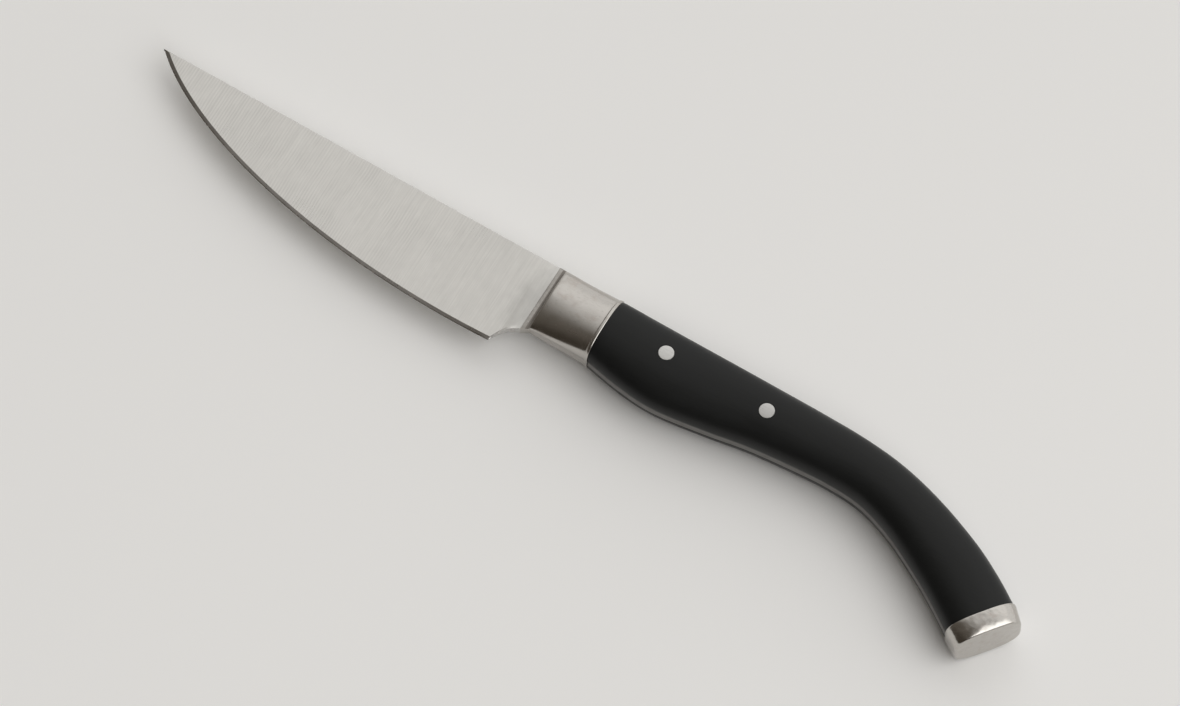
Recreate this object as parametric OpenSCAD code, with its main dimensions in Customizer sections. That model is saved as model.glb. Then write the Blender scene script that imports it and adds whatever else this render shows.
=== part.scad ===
// A steak knife with riveted handle scales, lying on its right side.
// The tip points to -X, the cutting edge to -Y, and the blade lies level.

/* [Blade] */
// Length of the blade, from its tip to the front of the bolster
blade_len = 105; // [90:1:130]
// Height of the blade, from the spine to the cutting edge
blade_h = 22.8; // [20.5:0.1:27]
// Thickness of the steel blank, at the back of the blade and all along the tang
blank_t = 2.2; // [1.6:0.1:3]
// Thickness of the spine at the tip
tip_t = 1.1; // [0.7:0.05:1.5]
// Height of the blunt end of the tip
tip_h = 0.3; // [0.2:0.05:0.6]
// Width of the sharpened bevel
bevel_w = 0.85; // [0.4:0.05:1.5]
// Thickness of the blade where the bevel starts
bevel_t = 0.5; // [0.3:0.05:0.7]
// Thickness left at the cutting edge
edge_t = 0.1; // [0.05:0.01:0.2]
// Length of the curved step between the heel of the edge and the bolster's toe
choil_len = 4.9; // [3:0.1:9]

/* [Bolster] */
// Length of the polished bolster
bolster_len = 14.9; // [10:0.1:20]
// Height of the bolster, from the spine side to the edge side
bolster_h = 16; // [14:0.1:19]
// Thickness of the bolster at its front
bolster_front_t = 8.2; // [6:0.1:11]
// Thickness of the bolster ahead of its rim
bolster_rear_t = 12.2; // [10:0.1:12.8]
// Length of the hollow toe that runs out on the blade
toe_len = 1.8; // [1:0.1:3]
// Rise of the blade's underside along the toe
toe_rise = 1.05; // [0.5:0.05:1.5]
// Thickness of the toe's feather edge on each side
toe_edge_t = 0.12; // [0.05:0.01:0.3]
// Length of the flared rim at the back of the bolster
rim_len = 1.4; // [0.8:0.1:2.5]
// How far the rims stand out above and below the scales
rim_proud = 0.25; // [0.1:0.05:0.6]
// How far the bolster's waist dips below the line of the spine
waist_dip = 0.2; // [0.05:0.05:0.5]

/* [Handle] */
// Overall thickness of the handle, between its two flat sides
handle_t = 13.2; // [13:0.1:17]
// Length of the grip along the knife, from the bolster to the middle of the butt cap's front
grip_len = 104.6; // [90:0.1:125]
// Height of the grip where it leaves the bolster
grip_h = 15.9; // [14:0.1:18]
// How far the middle of the grip drops from the bolster to the butt
grip_drop = 15.8; // [12:0.1:19]
// Angle at which the butt turns down
butt_angle = 37; // [30:1:42]
// Width of the flat on each side of the handle, as a share of its height
flat_share = 0.3; // [0.15:0.01:0.5]
// Gap left for the bond at each end of the scales
bond = 0.02; // [0.01:0.01:0.05]

/* [Pins] */
// Diameter of the handle pins
pin_d = 3.6; // [2.5:0.1:5]
// Distance from the bolster to the front pin
pin_front_x = 14.9; // [9:0.1:20]
// Distance between the two pins
pin_pitch = 25.9; // [18:0.1:35]
// Distance of the front pin below the line of the spine
pin_front_depth = 7.2; // [6:0.1:9]
// Distance of the rear pin below the line of the spine
pin_rear_depth = 7.6; // [6:0.1:9]
// Gap around each pin
pin_gap = 0.02; // [0.01:0.01:0.05]

/* [Butt cap] */
// Length of the butt cap along the butt
cap_len = 5; // [4:0.1:9]
// How much narrower the cap is at its end face than at its rim
cap_taper = 0.8; // [0.2:0.1:2]
// Radius of the cap's rear edge
cap_round = 0.6; // [0.3:0.1:1.2]
// Length of the rim at the front of the cap
cap_rim_len = 0.8; // [0.4:0.1:1.5]
// Height of the tenon at the end of the tang
tenon_h = 10; // [6:0.1:12]
// Length of the tenon, inside the cap
tenon_len = 2.6; // [1.5:0.1:3]
// Gap around the tenon in its slot
tenon_gap = 0.03; // [0.01:0.01:0.1]

/* [Hidden] */

// Overrun of every cut past the surface it opens
cut = 1;
// Overlap of the ground blade and the plain tang, which are one piece of steel
joint_lap = 0.4;
pin_facets = 64;
edge_steps = 22;
choil_steps = 10;
toe_steps = 6;
saddle_steps = 7;
flare_steps = 4;
shoulder_steps = 7;
grip_substeps = 4;
round_steps = 3;

// Handles of the curve from the tip to the heel, as shares of its length and of the blade's height
edge_curve_shares = [[0, 0], [0.15, 0.62], [0.56, 1.075], [1, 0.993]];
// Handles of the curve from the heel up to the toe, as shares of its length and rise
choil_curve_shares = [[0, 0], [0.24, 0.5], [0.48, 0.83], [1, 1]];
// Shape of the grip: the way along it, the drop of its middle, its height and its tilt, as shares
// of grip_len, grip_drop, grip_h and butt_angle
grip_shares = [
    [0, 0, 1, 0],
    [0.087, 0.054, 1.105, 0],
    [0.173, 0.073, 1.145, 0],
    [0.288, 0.025, 1.052, 0],
    [0.386, -0.028, 0.945, 0.04],
    [0.484, -0.057, 0.882, 0.11],
    [0.584, -0.063, 0.838, 0.25],
    [0.677, 0, 0.833, 0.52],
    [0.7725, 0.19, 0.888, 0.74],
    [0.873, 0.49, 0.968, 0.82],
    [0.945, 0.76, 1.002, 0.9],
    [1, 1, 1.015, 1]
];

half_blank = blank_t / 2;
half_handle = handle_t / 2;
blade_end = blade_len;
toe_start = blade_len - toe_len;
heel_x = toe_start - choil_len;
heel_y = -edge_curve_shares[3].y * blade_h;
bolster_end = blade_len + bolster_len;
toe_end_y = -bolster_h;
toe_start_y = toe_end_y - toe_rise;
grip_x = bolster_end + bond;
grip_y = -rim_proud - grip_h / 2;
pin_places = [
    [bolster_end + pin_front_x, -pin_front_depth],
    [bolster_end + pin_front_x + pin_pitch, -pin_rear_depth]
];

// A point on the curve with the four handles c, at t from 0 to 1
function curve(c, t) =
    c[0] * pow(1 - t, 3) + 3 * c[1] * t * pow(1 - t, 2) + 3 * c[2] * pow(t, 2) * (1 - t) + c[3] * pow(t, 3);

// A value that eases from a to b as t goes from 0 to 1, level at both ends
function ease(a, b, t) = a + (b - a) * t * t * (3 - 2 * t);

// A smooth curve through p1 and p2, with p0 and p3 as their outer neighbours
function through(p0, p1, p2, p3, t) =
    p1 + 0.5 * t * (p2 - p0 + t * (2 * p0 - 5 * p1 + 4 * p2 - p3 + t * (3 * p1 - p0 - 3 * p2 + p3)));

// The skin of a solid that passes through rings of points. The rings have the same even number of points,
// and the second half of each ring mirrors the first, so that strips close its two ends.
module loft(rings) {
    n = len(rings[0]);
    last = len(rings) - 1;
    polyhedron(
        points = [for (ring = rings) each ring],
        faces = concat(
            [for (i = [0:n / 2 - 2]) [i, i + 1, n - 2 - i, n - 1 - i]],
            [for (j = [0:last - 1], i = [0:n - 1])
                [j * n + i, (j + 1) * n + i, j * n + (i + 1) % n]],
            [for (j = [0:last - 1], i = [0:n - 1])
                [j * n + (i + 1) % n, (j + 1) * n + i, (j + 1) * n + (i + 1) % n]],
            [for (i = [0:n / 2 - 2]) [for (k = [n - 1 - i, n - 2 - i, i + 1, i]) last * n + k]]
        )
    );
}

// Thickness of the spine at x: it thins evenly from the toe to the tip
function spine_t(x) = tip_t + (blank_t - tip_t) * min(1, x / toe_start);

// A section of the blade: y_low is its lower side, wide_t its thickness a bevel above that, low_t at it
function blade_ring(x, y_low, wide_t, low_t) =
    let (
        wide_y = y_low + bevel_w * min(1, -y_low / (3 * bevel_w)),
        top = spine_t(x) / 2,
        wide = min(wide_t / 2, top)
    )
    [
        [x, 0, top], [x, wide_y, wide], [x, y_low, low_t / 2],
        [x, y_low, -low_t / 2], [x, wide_y, -wide], [x, 0, -top]
    ];

// Sections along the sharpened edge, from the tip to the heel
function edge_rings() = [
    for (i = [0:edge_steps])
        let (p = curve(edge_curve_shares, i / edge_steps))
        blade_ring(p.x * heel_x, min(-tip_h, -p.y * blade_h), bevel_t, edge_t)
];

// Sections along the choil, where the ground sides run out to the full thickness of the blank
function choil_rings() = [
    for (i = [1:choil_steps])
        let (
            t = i / choil_steps,
            p = curve(choil_curve_shares, t),
            y = heel_y + (toe_start_y - heel_y) * p.y
        )
        blade_ring(heel_x + choil_len * p.x, y, ease(bevel_t, blank_t, t), ease(edge_t, blank_t, sqrt(t)))
];

// Lower side of the blank under the toe
function toe_low(t) = toe_start_y + toe_rise * t;

// The rounded side of the handle on one face of the blank: points [across, up], from the top edge down,
// for half the height a and half the thickness b
function side_profile(a, b) =
    let (
        rise = b - half_blank,
        flat = flat_share * a,
        quarter = [for (i = [0:shoulder_steps]) 90 * i / shoulder_steps]
    )
    concat(
        [for (g = quarter) [flat + (a - flat) * cos(g), half_blank + rise * sin(g)]],
        [for (g = quarter) [-flat - (a - flat) * sin(g), half_blank + rise * cos(g)]]
    );

// A ring of the profile p, set up at the middle c of a section that leans by tilt
function place(p, c, tilt) = [for (q = p) [c.x + q.x * sin(tilt), c.y + q.x * cos(tilt), q.y]];

// Sections of the bolster, [x, top, low, half thickness], from the toe's feather edge to the rim
function bolster_sections() =
    let (
        front = bolster_front_t / 2,
        rear = bolster_rear_t / 2,
        feather = half_blank + toe_edge_t,
        flare_x = bolster_end - rim_len,
        low = -bolster_h
    )
    concat(
        [for (i = [0:toe_steps])
            let (t = i / toe_steps)
            [toe_start + toe_len * t, 0, toe_low(t), feather + (front - feather) * (1 - sqrt(1 - t * t))]],
        [for (i = [1:saddle_steps])
            let (t = i / saddle_steps)
            [blade_end + (flare_x - blade_end) * t, ease(0, -waist_dip, min(1, 2 * t)), low,
                front + (rear - front) * pow(t, 1.3)]],
        [for (i = [1:flare_steps])
            let (t = i / flare_steps)
            [flare_x + rim_len * t, ease(-waist_dip, 0, t), ease(low, -grip_h - 2 * rim_proud, t),
                ease(rear, half_handle, t)]]
    );

// One half of the bolster, on the left face of the blank
module bolster_half() {
    loft([
        for (s = bolster_sections())
            place(side_profile((s[1] - s[2]) / 2, s[3]), [s[0], (s[1] + s[2]) / 2], 0)
    ]);
}

// Rows of the grip's table, with a mirrored neighbour at each end
grip_table = concat(
    [2 * grip_shares[0] - grip_shares[1]],
    grip_shares,
    [2 * grip_shares[len(grip_shares) - 1] - grip_shares[len(grip_shares) - 2]]
);

// Places along the grip, [middle, half height, tilt]
grip_places = [
    for (i = [1:len(grip_table) - 3], k = [0:grip_substeps - 1])
        grip_place(through(grip_table[i - 1], grip_table[i], grip_table[i + 1], grip_table[i + 2], k / grip_substeps)),
    grip_place(grip_table[len(grip_table) - 2])
];

// The place on the grip that a row of shares gives
function grip_place(row) = [
    [grip_x + row[0] * grip_len, grip_y - row[1] * grip_drop],
    row[2] * grip_h / 2,
    row[3] * butt_angle
];

// The upper or lower edge of the grip, in the plane of the blade: side is 1 above and -1 below
function grip_edge(side) = [
    for (g = grip_places) g[0] + side * g[1] * [sin(g[2]), cos(g[2])]
];

// One scale, on the left face of the tang, drilled for the pins
module scale_half() {
    difference() {
        loft([for (g = grip_places) place(side_profile(g[1], half_handle), g[0], g[2])]);
        for (p = pin_places)
            translate([p.x, p.y, 0])
                cylinder(d = pin_d + 2 * pin_gap, h = half_handle + cut, $fn = pin_facets);
    }
}

// The middle of the cap's front, and its direction along the butt and across it
butt = grip_places[len(grip_places) - 1];
butt_along = [cos(butt_angle), -sin(butt_angle)];
butt_across = [sin(butt_angle), cos(butt_angle)];
cap_start = butt[0] + bond * butt_along;
cap_half = butt[1] + rim_proud;

// Sections of the cap, [way along, half height, half thickness]: a rim, a tapering body, a rounded rear edge
cap_sections = concat(
    [[0, cap_half, half_handle], [cap_rim_len, cap_half, half_handle]],
    [for (i = [0:round_steps])
        let (
            g = 90 * i / round_steps,
            in = cap_round * (1 - cos(g))
        )
        [cap_len - cap_round * (1 - sin(g)), cap_half - cap_taper / 2 - in, half_handle - in]]
);

// A full ring of the handle's outline, both sides of the blank
function full_ring(s) =
    let (
        p = side_profile(s[1], s[2]),
        both = concat(p, [for (i = [len(p) - 1:-1:0]) [p[i].x, -p[i].y]])
    )
    place(both, cap_start + s[0] * butt_along, butt_angle);

// The tang as seen from the side, with its tenon
module tang_outline() {
    bolster_run = [for (s = bolster_sections()) if (s[0] > toe_start + toe_len - joint_lap) s];
    tenon = [
        for (side = [1, -1])
            for (way = side > 0 ? [0, 1] : [1, 0])
                cap_start + way * tenon_len * butt_along + side * tenon_h / 2 * butt_across
    ];
    polygon(concat(
        [[blade_end - joint_lap, 0]],
        [for (s = bolster_run) [s[0], s[1]]],
        grip_edge(1),
        tenon,
        [for (i = [len(grip_places) - 1:-1:0]) grip_edge(-1)[i]],
        [for (i = [len(bolster_run) - 1:-1:0]) [bolster_run[i][0], bolster_run[i][2]]],
        [[blade_end - joint_lap, toe_low(1 - joint_lap / toe_len)]]
    ));
}

// Moves the knife from its tip and spine to the middle of its footprint, lying on the ground
module lay_down() {
    corners = [
        for (s = cap_sections, side = [1, -1])
            cap_start + s[0] * butt_along + side * s[1] * butt_across
    ];
    far_x = max([for (c = corners) c.x]);
    low_y = min(heel_y, min([for (p = edge_rings()) p[2].y]), min([for (c = corners) c.y]));
    translate([-far_x / 2, -low_y / 2, half_handle])
        children();
}

// Blade, tang and tenon, ground from one blank
module blade() {
    color("lightgray")
    lay_down()
    difference() {
        union() {
            loft(concat(
                edge_rings(),
                choil_rings(),
                [blade_ring(blade_end, toe_end_y, blank_t, blank_t)]
            ));
            translate([0, 0, -half_blank])
                linear_extrude(blank_t)
                    tang_outline();
        }
        for (p = pin_places)
            translate([p.x, p.y, -half_blank - cut])
                cylinder(d = pin_d + 2 * pin_gap, h = blank_t + 2 * cut, $fn = pin_facets);
    }
}

// Left half of the bolster, brazed to the blank
module bolster_left() {
    color("silver")
    lay_down()
    bolster_half();
}

// Right half of the bolster
module bolster_right() {
    color("silver")
    lay_down()
    mirror([0, 0, 1])
    bolster_half();
}

// Left handle scale
module scale_left() {
    color([0.12, 0.12, 0.13])
    lay_down()
    scale_half();
}

// Right handle scale
module scale_right() {
    color([0.12, 0.12, 0.13])
    lay_down()
    mirror([0, 0, 1])
    scale_half();
}

// A pin through both scales and the tang, ground flush with the flat sides
module pin(place) {
    color("gainsboro")
    lay_down()
    translate([place.x, place.y, pin_gap - half_handle])
        cylinder(d = pin_d, h = handle_t - 2 * pin_gap, $fn = pin_facets);
}

module pin_front() {
    pin(pin_places[0]);
}

module pin_rear() {
    pin(pin_places[1]);
}

// Butt cap, with the blind slot that takes the tenon
module butt_cap() {
    color("silver")
    lay_down()
    difference() {
        loft([for (s = cap_sections) full_ring(s)]);
        translate([cap_start.x, cap_start.y, 0])
            rotate(-butt_angle)
                translate([-cut, -tenon_h / 2 - tenon_gap, -half_blank - tenon_gap])
                    cube([cut + tenon_len + tenon_gap, tenon_h + 2 * tenon_gap, blank_t + 2 * tenon_gap]);
    }
}

blade();
bolster_left();
bolster_right();
scale_left();
scale_right();
pin_front();
pin_rear();
butt_cap();
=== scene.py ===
"""Looks of a steak knife that lies on its right side on a pale table.

The knife is a ground blade with a full tang, two bolster halves brazed to it, two black scales with steel
pins through them, and a steel butt cap. Unless a name or a comment says otherwise, sizes are in millimetres
along the knife: x runs from the tip to the butt, y up to the spine, and z out of the left face from the
middle of the blade. Workbench turns such points into metres in the frame.
"""

from __future__ import annotations

import itertools
import logging
import math
from collections.abc import Iterable, Mapping, Sequence
from dataclasses import dataclass
from enum import Enum

import bmesh
import bpy
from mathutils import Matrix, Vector


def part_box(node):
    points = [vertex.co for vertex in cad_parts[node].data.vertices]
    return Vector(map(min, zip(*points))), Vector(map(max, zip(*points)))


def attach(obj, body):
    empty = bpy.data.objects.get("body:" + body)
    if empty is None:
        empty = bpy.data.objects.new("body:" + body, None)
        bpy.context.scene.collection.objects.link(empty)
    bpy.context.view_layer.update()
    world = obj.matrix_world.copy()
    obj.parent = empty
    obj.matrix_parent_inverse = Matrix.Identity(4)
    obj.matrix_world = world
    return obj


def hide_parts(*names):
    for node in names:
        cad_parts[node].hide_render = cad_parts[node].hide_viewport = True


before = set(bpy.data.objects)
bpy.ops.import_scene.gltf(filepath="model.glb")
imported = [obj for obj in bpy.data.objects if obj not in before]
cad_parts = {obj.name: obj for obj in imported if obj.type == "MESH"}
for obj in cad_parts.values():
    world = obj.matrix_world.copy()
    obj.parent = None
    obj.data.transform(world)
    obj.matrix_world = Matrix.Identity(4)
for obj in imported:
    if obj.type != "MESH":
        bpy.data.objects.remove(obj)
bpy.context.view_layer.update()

log = logging.getLogger("knife")

MM = 0.001
BODY = "root"
RIGHT_ANGLE = math.pi / 2
FULL_TURN = 2 * math.pi
# Points of a mesh that lie closer than this are one point
WELD = 0.0002
# Steps around a small eased edge
CORNER_STEPS = 2
# Noise and masks run over this range
UNIT = (0.0, 1.0)
MIDDLE = 0.5
# The numbers of a Mix node's sockets for its share and two colours, and for the mixed colour
MIX_IN = (0, 6, 7)
MIX_OUT = 2

Triple = tuple[float, float, float]
Colour = Triple
Pair = tuple[float, float]
Ring = list[Vector]


class Side(Enum):
    """The two faces of the knife. The value is the face's direction along z."""

    LEFT = 1
    RIGHT = -1


class Slot(Enum):
    """The record's material slots."""

    BLADE = "blade_steel"
    BOLSTER = "bolster_steel"
    HANDLE = "handle_black"
    PIN = "pin_steel"
    CAP = "cap_steel"


class Wire:
    """A node's output that takes part in sums, so that shader maths reads as plain Python."""

    def __init__(self, recipe: Recipe, socket: bpy.types.NodeSocket) -> None:
        """Keeps an output socket together with the recipe that new nodes go into."""
        self.recipe = recipe
        self.socket = socket

    def maths(self, operation: str, *values: Value) -> Wire:
        """Adds one Math node with these operands, in order."""
        return self.recipe.node("ShaderNodeMath", {"operation": operation}, dict(enumerate(values)))

    def __add__(self, other: Value) -> Wire:
        """This plus the other value."""
        return self.maths("ADD", self, other)

    def __radd__(self, other: Value) -> Wire:
        """The other value plus this."""
        return self.maths("ADD", other, self)

    def __sub__(self, other: Value) -> Wire:
        """This less the other value."""
        return self.maths("SUBTRACT", self, other)

    def __rsub__(self, other: Value) -> Wire:
        """The other value less this."""
        return self.maths("SUBTRACT", other, self)

    def __mul__(self, other: Value) -> Wire:
        """This times the other value."""
        return self.maths("MULTIPLY", self, other)

    def __rmul__(self, other: Value) -> Wire:
        """The other value times this."""
        return self.maths("MULTIPLY", other, self)

    def spread(self, reach: float) -> Wire:
        """This, from 0 to 1, moved and stretched to run from -reach to reach."""
        return (self - MIDDLE) * (2 * reach)


Value = Wire | float | tuple[float, ...]
Key = int | str


class Recipe:
    """A node tree that is being written."""

    def __init__(self, tree: bpy.types.NodeTree) -> None:
        """Empties the tree of a material or of the world."""
        self.tree = tree
        self.tree.nodes.clear()

    def add(self, kind: str, settings: Mapping[str, object], inputs: Mapping[Key, Value]) -> bpy.types.Node:
        """Adds one node of any type.

        Args:
            kind: The node's type.
            settings: Its settings, which are set before its sockets.
            inputs: The value or wire of each socket, by name or number.

        Returns:
            The node.
        """
        made = self.tree.nodes.new(kind)
        for name, value in settings.items():
            setattr(made, name, value)
        for name, value in inputs.items():
            if isinstance(value, Wire):
                self.tree.links.new(value.socket, made.inputs[name])
            else:
                made.inputs[name].default_value = value
        return made

    def node(
        self, kind: str, settings: Mapping[str, object], inputs: Mapping[Key, Value], output: Key = 0
    ) -> Wire:
        """Adds one node, as add does, and hands back one of its outputs."""
        return Wire(self, self.add(kind, settings, inputs).outputs[output])

    def place(self) -> Wire:
        """The point on the object, in metres in the frame."""
        return self.node("ShaderNodeTexCoord", {}, {}, "Object")

    def along(self, place: Wire) -> Wire:
        """The first coordinate of a point."""
        return self.node("ShaderNodeSeparateXYZ", {}, {0: place}, "X")

    def vectors(self, operation: str, first: Value, second: Value, output: str = "Vector") -> Wire:
        """Adds one Vector Math node, and hands back the output that is named."""
        return self.node("ShaderNodeVectorMath", {"operation": operation}, {0: first, 1: second}, output)

    def noise(self, place: Wire, cell: Triple, detail: float = 2.0) -> Wire:
        """Smooth noise in patches of the cell's size along x, y and z, with octaves of finer detail."""
        point = self.vectors("MULTIPLY", place, tuple(1 / (size * MM) for size in cell))
        return self.node("ShaderNodeTexNoise", {}, {"Vector": point, "Scale": 1.0, "Detail": detail})

    def levels(self, value: Wire, source: Pair, target: Pair = UNIT) -> Wire:
        """Maps a range of a value to another range, with soft ends, and holds it there outside the range."""
        ends = dict(zip(("From Min", "From Max", "To Min", "To Max"), (*source, *target)))
        return self.node("ShaderNodeMapRange", {"interpolation_type": "SMOOTHSTEP"}, {"Value": value, **ends})

    def blend(self, share: Value, first: Wire | Colour, second: Wire | Colour) -> Wire:
        """Mixes two colours, of which the second has the share."""
        ends = [colour if isinstance(colour, Wire) else (*colour, 1.0) for colour in (first, second)]
        return self.node("ShaderNodeMix", {"data_type": "RGBA"}, dict(zip(MIX_IN, (share, *ends))), MIX_OUT)

    def tinted(self, colour: Wire | Colour, amount: Wire) -> Wire:
        """A colour times a varying factor."""
        return self.node("ShaderNodeVectorMath", {"operation": "SCALE"}, {0: colour, "Scale": amount})

    def bump(self, height: Wire, depth: float) -> Wire:
        """The surface's normal, tilted by a height map that stands for the depth where it is 1."""
        return self.node("ShaderNodeBump", {}, {"Strength": 1.0, "Distance": depth * MM, "Height": height})


def product(first: Sequence[float], second: Sequence[float]) -> tuple[float, ...]:
    """The parts of the first, each times the same part of the second."""
    return tuple(part * other for part, other in zip(first, second))


@dataclass(frozen=True)
class Finish:
    """What the finishes of all surfaces share."""

    name: str
    colour: Colour
    roughness: float

    def sockets(self, recipe: Recipe) -> dict[Key, Value]:
        """Writes the surface's nodes into the recipe, and hands back what the sockets of its shader take."""
        raise NotImplementedError

    def material(self) -> bpy.types.Material:
        """Makes the material with this finish, if it isn't there yet.

        Returns:
            The material.
        """
        known = bpy.data.materials.get(self.name)
        if known:
            return known
        made = bpy.data.materials.new(self.name)
        made.use_nodes = True
        recipe = Recipe(made.node_tree)
        shader = recipe.node("ShaderNodeBsdfPrincipled", {}, self.sockets(recipe))
        recipe.add("ShaderNodeOutputMaterial", {}, {"Surface": shader})
        return made


@dataclass(frozen=True)
class GroundSteel(Finish):
    """Satin steel with grinding lines square to the spine, which are rubbed away around one place that also
    gets painted shade.
    """

    line: Triple = (0.2, 24.0, 24.0)
    scratch: Triple = (0.07, 7.0, 7.0)
    cloud: Triple = (15.0, 11.0, 11.0)
    smear: Triple = (1.6, 3.0, 3.0)
    ridge_pitch: float = 0.67
    ridge_drift: float = 11.0
    # The ridges are high where the cloud is thin, and low where it is dense
    cloud_range: Pair = (0.35, 0.65)
    ridge_heights: Pair = (0.4, 0.08)
    # They are weakest within the first distance from the rubbed place, and full beyond the second
    ridge_reach: Pair = (14.0, 44.0)
    ridge_left: float = 0.25
    # What line, scratch and ridge add up to where the grain is deepest and highest
    grain_range: Pair = (0.5, 1.5)
    grain_haze: float = 0.04
    relief: float = 0.0009
    contrast: float = 0.06
    cloud_contrast: float = 0.05
    smear_contrast: float = 0.06
    satin_range: Pair = (0.3, 0.7)
    satin_spread: float = 0.03
    # The place where the grinding lines are rubbed away and the colour is painted darker as shade, in metres
    # in the frame
    rubbed_and_shaded_place: Triple = (0.0, 0.0, 0.0)
    # How far from that place the rubbing and the painted shade are full, and where they end
    rubbed_and_shaded_reach: Pair = (2.5, 9.0)
    rubbed_squash: Triple = (1.0, 0.6, 1.0)
    rubbed_wander: float = 1.0
    rubbed_smooth: float = 0.7
    # How dark the painted shade around that place makes the colour, and how unevenly
    painted_shade_tone: float = 0.77
    painted_shade_spread: float = 0.03

    def sockets(self, recipe: Recipe) -> dict[Key, Value]:
        """Writes the nodes of ground faces.

        Args:
            recipe: The tree that they go into.

        Returns:
            What the sockets of the shader take.
        """
        place = recipe.place()
        line = recipe.noise(place, self.line, detail=1)
        scratch = recipe.noise(place, self.scratch)
        cloud = recipe.noise(place, self.cloud)
        smear = recipe.noise(place, self.smear, detail=3)
        squashed = recipe.vectors("MULTIPLY", place, self.rubbed_squash)
        centre = product(self.rubbed_and_shaded_place, self.rubbed_squash)
        away = recipe.vectors("DISTANCE", squashed, centre, "Value") * (1 / MM)
        # Where the lines are rubbed away and where shade is painted, next to the bolster
        rubbed = 1 - recipe.levels(away + smear.spread(self.rubbed_wander), self.rubbed_and_shaded_reach)
        turn = recipe.along(place) * (FULL_TURN / (self.ridge_pitch * MM)) + cloud * self.ridge_drift
        height = recipe.levels(cloud, self.cloud_range, self.ridge_heights)
        kept = recipe.levels(away, self.ridge_reach, (self.ridge_left, 1.0))
        ridge = turn.maths("SINE", turn) * height * kept
        grain = recipe.levels(line + scratch + ridge, self.grain_range)
        fine = grain * (1 - rubbed * self.rubbed_smooth)
        mottle = cloud.spread(self.cloud_contrast) + smear.spread(self.smear_contrast)
        tone = fine.spread(self.contrast) + mottle + 1
        # Painted shade: the colour darkens towards the bolster, a little unevenly
        wear_and_shade = rubbed * (smear.spread(self.painted_shade_spread) + self.painted_shade_tone - 1) + 1
        satin = (self.roughness - self.satin_spread, self.roughness + self.satin_spread)
        return {
            "Base Color": recipe.tinted(self.colour, tone * wear_and_shade),
            "Metallic": 1.0,
            "Roughness": recipe.levels(cloud, self.satin_range, satin) + fine * self.grain_haze,
            "Normal": recipe.bump(fine, self.relief),
        }


@dataclass(frozen=True)
class WornSteel(Finish):
    """Plain steel with fine lines, soft stains and a bloom of handling.

    The lines run along the longest side of their cell. A deep wave makes polished steel look buffed by hand.
    """

    line: Triple = (7.0, 0.16, 0.16)
    scratch: Triple = (8.0, 0.13, 0.13)
    wave: Triple = (4.2, 3.4, 3.4)
    bloom: Triple = (3.1, 2.2, 2.2)
    wave_depth: float = 0.01
    line_depth: float = 0.0005
    line_haze: float = 0.03
    stain_range: Pair = (0.5, 0.8)
    stain_tone: Colour = (0.87, 0.8, 0.76)
    stain_share: float = 0.5
    streak_range: Pair = (0.66, 0.82)
    streak_share: float = 0.2
    haze_range: Pair = (0.35, 0.75)
    haze: float = 0.09

    def sockets(self, recipe: Recipe) -> dict[Key, Value]:
        """Writes the nodes of lined and stained steel.

        Args:
            recipe: The tree that they go into.

        Returns:
            What the sockets of the shader take.
        """
        place = recipe.place()
        line = recipe.noise(place, self.line)
        wave = recipe.noise(place, self.wave, detail=0)
        bloom = recipe.noise(place, self.bloom, detail=3)
        scratch = recipe.noise(place, self.scratch, detail=0)
        stain = recipe.levels(bloom, self.stain_range, (0.0, self.stain_share))
        steel = recipe.blend(stain, self.colour, product(self.colour, self.stain_tone))
        streaks = recipe.levels(scratch, self.streak_range, (1.0, 1 - self.streak_share))
        haze = recipe.levels(bloom, self.haze_range, (self.roughness, self.roughness + self.haze))
        return {
            "Base Color": recipe.tinted(steel, streaks),
            "Metallic": 1.0,
            "Roughness": haze + line * self.line_haze,
            "Normal": recipe.bump(wave * self.wave_depth + line * self.line_depth, depth=1.0),
        }


@dataclass(frozen=True)
class MouldedBlack(Finish):
    """Black moulded plastic, sanded to a satin and rubbed a little smoother on its crown."""

    grain: Triple = (0.13, 0.13, 0.13)
    sanding: Triple = (6.0, 0.2, 0.2)
    rub: Triple = (24.0, 7.0, 7.0)
    grain_share: float = 0.6
    relief: float = 0.003
    reflectance: float = 0.25
    # What grain and sanding add up to where the plastic is darkest and lightest, and its tones there
    tone_range: Pair = (0.6, 1.4)
    tones: Pair = (0.85, 1.2)
    tone_haze: float = 0.06
    rub_range: Pair = (0.35, 0.7)
    rubbed_off: float = 0.08

    def sockets(self, recipe: Recipe) -> dict[Key, Value]:
        """Writes the nodes of satin plastic.

        Args:
            recipe: The tree that they go into.

        Returns:
            What the sockets of the shader take.
        """
        place = recipe.place()
        grain, sanding, rub = (recipe.noise(place, cell) for cell in (self.grain, self.sanding, self.rub))
        tone = recipe.levels(grain + sanding, self.tone_range)
        wear_and_shade = recipe.levels(rub, self.rub_range)
        dark, light = self.tones
        return {
            "Base Color": recipe.tinted(self.colour, tone * (light - dark) + dark),
            "Roughness": self.roughness + tone * self.tone_haze - wear_and_shade * self.rubbed_off,
            "Specular IOR Level": self.reflectance,
            "Normal": recipe.bump(grain * self.grain_share + sanding * (1 - self.grain_share), self.relief),
        }


@dataclass(frozen=True)
class PaleTable(Finish):
    """Plain pale table top."""

    reflectance: float = 0.2

    def sockets(self, recipe: Recipe) -> dict[Key, Value]:
        """What the sockets of the shader of a plain matt surface take."""
        colour = (*self.colour, 1.0)
        return {"Base Color": colour, "Roughness": self.roughness, "Specular IOR Level": self.reflectance}


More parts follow.
